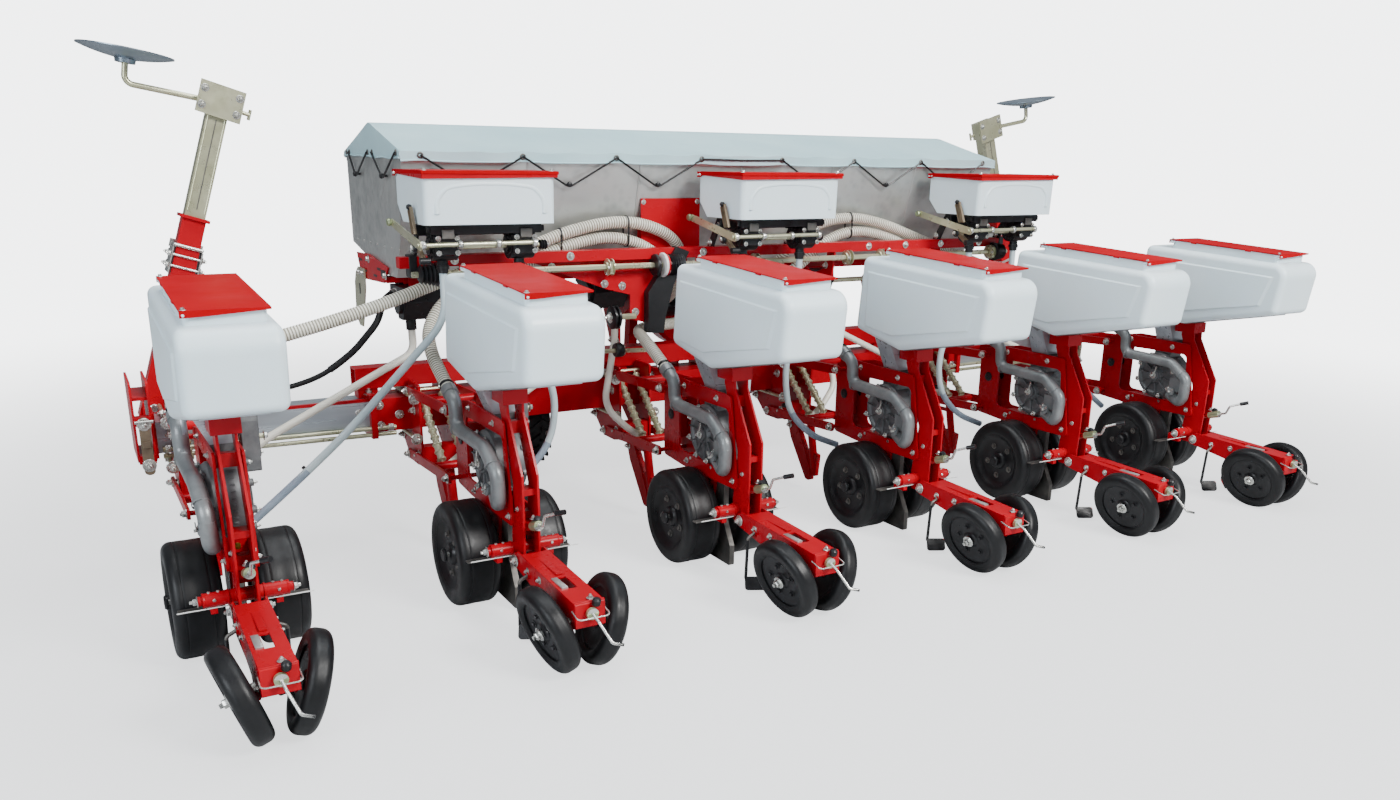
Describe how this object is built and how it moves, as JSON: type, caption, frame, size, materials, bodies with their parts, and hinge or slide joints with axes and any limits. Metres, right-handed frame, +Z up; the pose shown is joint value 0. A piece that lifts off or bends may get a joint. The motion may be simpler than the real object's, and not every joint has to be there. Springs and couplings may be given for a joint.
{
  "type": "tractor seeder",
  "caption": "Tractor-mounted row seeder on a telescopic toolbar, with seed units, a tarp-covered fertiliser hopper and folding row markers.",
  "frame": {"origin": "on the ground under the middle of the machine's outline", "axes": "+X to the machine's right, +Y forward towards the tractor, +Z up"},
  "size_m": [4.9082, 2.8457, 1.9445],
  "materials": {
    "red_paint": "glossy signal red enamel",
    "tyre_rubber": "matt black rubber",
    "milk_plastic": "translucent milky polyethylene",
    "cast_aluminium": "bare cast aluminium",
    "zinc": "zinc-plated steel",
    "stainless": "dull stainless sheet",
    "tarp": "pale blue-grey coated tarpaulin",
    "black_steel": "black enamel",
    "disc_steel": "bare steel disc"
  },
  "bodies": {
    "machine": {"drive_shafts": "zinc", "drive_wheel_arms": "red_paint", "drop_tubes": "milk_plastic", "fertiliser_hopper": "stainless", "fertiliser_meters": "black_steel", "fertiliser_openers": "red_paint", "furrow_openers": "red_paint", "granule_hoppers": "milk_plastic", "granule_meters": "black_steel", "hopper_frame": "red_paint", "press_arms": "red_paint", "row_frames": "red_paint", "row_links": "red_paint", "seed_hoppers_left": "milk_plastic", "seed_hoppers_right": "milk_plastic", "seed_meters": "cast_aluminium", "suction_hose_1": "milk_plastic", "suction_hose_2": "milk_plastic", "suction_hose_3": "milk_plastic", "suction_hose_4": "milk_plastic", "suction_hose_5": "milk_plastic", "suction_hose_6": "milk_plastic", "tarp_cover": "tarp", "toolbar": "red_paint", "toolbar_ends": "red_paint", "toolbar_extensions": "zinc", "vacuum_fan": "red_paint"},
    "gauge_wheel_pair_1": {"gauge_wheels_1": "tyre_rubber"},
    "press_wheel_1_left_body": {"press_wheel_1_left": "tyre_rubber"},
    "press_wheel_1_right_body": {"press_wheel_1_right": "tyre_rubber"},
    "seed_lid_1_body": {"seed_lid_1": "red_paint"},
    "gauge_wheel_pair_2": {"gauge_wheels_2": "tyre_rubber"},
    "press_wheel_2_left_body": {"press_wheel_2_left": "tyre_rubber"},
    "press_wheel_2_right_body": {"press_wheel_2_right": "tyre_rubber"},
    "seed_lid_2_body": {"seed_lid_2": "red_paint"},
    "gauge_wheel_pair_3": {"gauge_wheels_3": "tyre_rubber"},
    "press_wheel_3_left_body": {"press_wheel_3_left": "tyre_rubber"},
    "press_wheel_3_right_body": {"press_wheel_3_right": "tyre_rubber"},
    "seed_lid_3_body": {"seed_lid_3": "red_paint"},
    "gauge_wheel_pair_4": {"gauge_wheels_4": "tyre_rubber"},
    "press_wheel_4_left_body": {"press_wheel_4_left": "tyre_rubber"},
    "press_wheel_4_right_body": {"press_wheel_4_right": "tyre_rubber"},
    "seed_lid_4_body": {"seed_lid_4": "red_paint"},
    "gauge_wheel_pair_5": {"gauge_wheels_5": "tyre_rubber"},
    "press_wheel_5_left_body": {"press_wheel_5_left": "tyre_rubber"},
    "press_wheel_5_right_body": {"press_wheel_5_right": "tyre_rubber"},
    "seed_lid_5_body": {"seed_lid_5": "red_paint"},
    "gauge_wheel_pair_6": {"gauge_wheels_6": "tyre_rubber"},
    "press_wheel_6_left_body": {"press_wheel_6_left": "tyre_rubber"},
    "press_wheel_6_right_body": {"press_wheel_6_right": "tyre_rubber"},
    "seed_lid_6_body": {"seed_lid_6": "red_paint"},
    "granule_lid_1_body": {"granule_lid_1": "red_paint"},
    "granule_lid_2_body": {"granule_lid_2": "red_paint"},
    "granule_lid_3_body": {"granule_lid_3": "red_paint"},
    "drive_wheel_left_body": {"drive_wheel_left": "tyre_rubber"},
    "marker_left_body": {"marker_arm_left": "red_paint"},
    "marker_disc_left_body": {"marker_disc_left": "disc_steel"},
    "drive_wheel_right_body": {"drive_wheel_right": "tyre_rubber"},
    "marker_right_body": {"marker_arm_right": "red_paint"},
    "marker_disc_right_body": {"marker_disc_right": "disc_steel"}
  },
  "joints": [
    {"name": "gauge_wheels_1_spin", "type": "hinge", "parent": "machine", "child": "gauge_wheel_pair_1", "pos_m": [-2.25, -0.507, 0.19], "axis": [1, 0, 0], "continuous": true},
    {"name": "press_wheel_1_left_spin", "type": "hinge", "parent": "machine", "child": "press_wheel_1_left_body", "pos_m": [-2.342, -1.192, 0.14483], "axis": [-0.9467, -0.0912, -0.309], "continuous": true},
    {"name": "press_wheel_1_right_spin", "type": "hinge", "parent": "machine", "child": "press_wheel_1_right_body", "pos_m": [-2.158, -1.192, 0.14483], "axis": [0.9467, -0.0912, -0.309], "continuous": true},
    {"name": "seed_lid_1_hinge", "type": "hinge", "parent": "machine", "child": "seed_lid_1_body", "pos_m": [-2.364, -1.15855, 1.17979], "axis": [0, -0.9987, -0.0517], "range_deg": [0, 110]},
    {"name": "gauge_wheels_2_spin", "type": "hinge", "parent": "machine", "child": "gauge_wheel_pair_2", "pos_m": [-1.35, -0.507, 0.19], "axis": [1, 0, 0], "continuous": true},
    {"name": "press_wheel_2_left_spin", "type": "hinge", "parent": "machine", "child": "press_wheel_2_left_body", "pos_m": [-1.442, -1.192, 0.14483], "axis": [-0.9467, -0.0912, -0.309], "continuous": true},
    {"name": "press_wheel_2_right_spin", "type": "hinge", "parent": "machine", "child": "press_wheel_2_right_body", "pos_m": [-1.258, -1.192, 0.14483], "axis": [0.9467, -0.0912, -0.309], "continuous": true},
    {"name": "seed_lid_2_hinge", "type": "hinge", "parent": "machine", "child": "seed_lid_2_body", "pos_m": [-1.464, -1.15855, 1.17979], "axis": [0, -0.9987, -0.0517], "range_deg": [0, 110]},
    {"name": "gauge_wheels_3_spin", "type": "hinge", "parent": "machine", "child": "gauge_wheel_pair_3", "pos_m": [-0.45, -0.507, 0.19], "axis": [1, 0, 0], "continuous": true},
    {"name": "press_wheel_3_left_spin", "type": "hinge", "parent": "machine", "child": "press_wheel_3_left_body", "pos_m": [-0.542, -1.192, 0.14483], "axis": [-0.9467, -0.0912, -0.309], "continuous": true},
    {"name": "press_wheel_3_right_spin", "type": "hinge", "parent": "machine", "child": "press_wheel_3_right_body", "pos_m": [-0.358, -1.192, 0.14483], "axis": [0.9467, -0.0912, -0.309], "continuous": true},
    {"name": "seed_lid_3_hinge", "type": "hinge", "parent": "machine", "child": "seed_lid_3_body", "pos_m": [-0.564, -1.15855, 1.17979], "axis": [0, -0.9987, -0.0517], "range_deg": [0, 110]},
    {"name": "gauge_wheels_4_spin", "type": "hinge", "parent": "machine", "child": "gauge_wheel_pair_4", "pos_m": [0.45, -0.507, 0.19], "axis": [1, 0, 0], "continuous": true},
    {"name": "press_wheel_4_left_spin", "type": "hinge", "parent": "machine", "child": "press_wheel_4_left_body", "pos_m": [0.358, -1.192, 0.14483], "axis": [-0.9467, -0.0912, -0.309], "continuous": true},
    {"name": "press_wheel_4_right_spin", "type": "hinge", "parent": "machine", "child": "press_wheel_4_right_body", "pos_m": [0.542, -1.192, 0.14483], "axis": [0.9467, -0.0912, -0.309], "continuous": true},
    {"name": "seed_lid_4_hinge", "type": "hinge", "parent": "machine", "child": "seed_lid_4_body", "pos_m": [0.336, -1.15855, 1.17979], "axis": [0, -0.9987, -0.0517], "range_deg": [0, 110]},
    {"name": "gauge_wheels_5_spin", "type": "hinge", "parent": "machine", "child": "gauge_wheel_pair_5", "pos_m": [1.35, -0.507, 0.19], "axis": [1, 0, 0], "continuous": true},
    {"name": "press_wheel_5_left_spin", "type": "hinge", "parent": "machine", "child": "press_wheel_5_left_body", "pos_m": [1.258, -1.192, 0.14483], "axis": [-0.9467, -0.0912, -0.309], "continuous": true},
    {"name": "press_wheel_5_right_spin", "type": "hinge", "parent": "machine", "child": "press_wheel_5_right_body", "pos_m": [1.442, -1.192, 0.14483], "axis": [0.9467, -0.0912, -0.309], "continuous": true},
    {"name": "seed_lid_5_hinge", "type": "hinge", "parent": "machine", "child": "seed_lid_5_body", "pos_m": [1.236, -1.15855, 1.17979], "axis": [0, -0.9987, -0.0517], "range_deg": [0, 110]},
    {"name": "gauge_wheels_6_spin", "type": "hinge", "parent": "machine", "child": "gauge_wheel_pair_6", "pos_m": [2.25, -0.507, 0.19], "axis": [1, 0, 0], "continuous": true},
    {"name": "press_wheel_6_left_spin", "type": "hinge", "parent": "machine", "child": "press_wheel_6_left_body", "pos_m": [2.158, -1.192, 0.14483], "axis": [-0.9467, -0.0912, -0.309], "continuous": true},
    {"name": "press_wheel_6_right_spin", "type": "hinge", "parent": "machine", "child": "press_wheel_6_right_body", "pos_m": [2.342, -1.192, 0.14483], "axis": [0.9467, -0.0912, -0.309], "continuous": true},
    {"name": "seed_lid_6_hinge", "type": "hinge", "parent": "machine", "child": "seed_lid_6_body", "pos_m": [2.136, -1.15855, 1.17979], "axis": [0, -0.9987, -0.0517], "range_deg": [0, 110]},
    {"name": "granule_lid_1_hinge", "type": "hinge", "parent": "machine", "child": "granule_lid_1_body", "pos_m": [-1.275, -0.04, 1.504], "axis": [-1, 0, 0], "range_deg": [0, 80]},
    {"name": "granule_lid_2_hinge", "type": "hinge", "parent": "machine", "child": "granule_lid_2_body", "pos_m": [0, -0.04, 1.504], "axis": [-1, 0, 0], "range_deg": [0, 80]},
    {"name": "granule_lid_3_hinge", "type": "hinge", "parent": "machine", "child": "granule_lid_3_body", "pos_m": [1.275, -0.04, 1.504], "axis": [-1, 0, 0], "range_deg": [0, 80]},
    {"name": "drive_wheel_left_spin", "type": "hinge", "parent": "machine", "child": "drive_wheel_left_body", "pos_m": [-0.6, 1.173, 0.25], "axis": [1, 0, 0], "continuous": true},
    {"name": "marker_left_fold", "type": "hinge", "parent": "machine", "child": "marker_left_body", "pos_m": [-2.36, 0.623, 0.6], "axis": [0, -1, 0], "range_deg": [0, 110]},
    {"name": "marker_disc_left_spin", "type": "hinge", "parent": "marker_left_body", "child": "marker_disc_left_body", "pos_m": [-2.29845, 0.613, 1.88871], "axis": [0.1616, 0, 0.9869], "continuous": true},
    {"name": "drive_wheel_right_spin", "type": "hinge", "parent": "machine", "child": "drive_wheel_right_body", "pos_m": [0.6, 1.173, 0.25], "axis": [1, 0, 0], "continuous": true},
    {"name": "marker_right_fold", "type": "hinge", "parent": "machine", "child": "marker_right_body", "pos_m": [2.36, 0.623, 0.6], "axis": [0, 1, 0], "range_deg": [0, 110]},
    {"name": "marker_disc_right_spin", "type": "hinge", "parent": "marker_right_body", "child": "marker_disc_right_body", "pos_m": [2.29845, 0.613, 1.88871], "axis": [-0.1616, 0, 0.9869], "continuous": true}
  ]
}
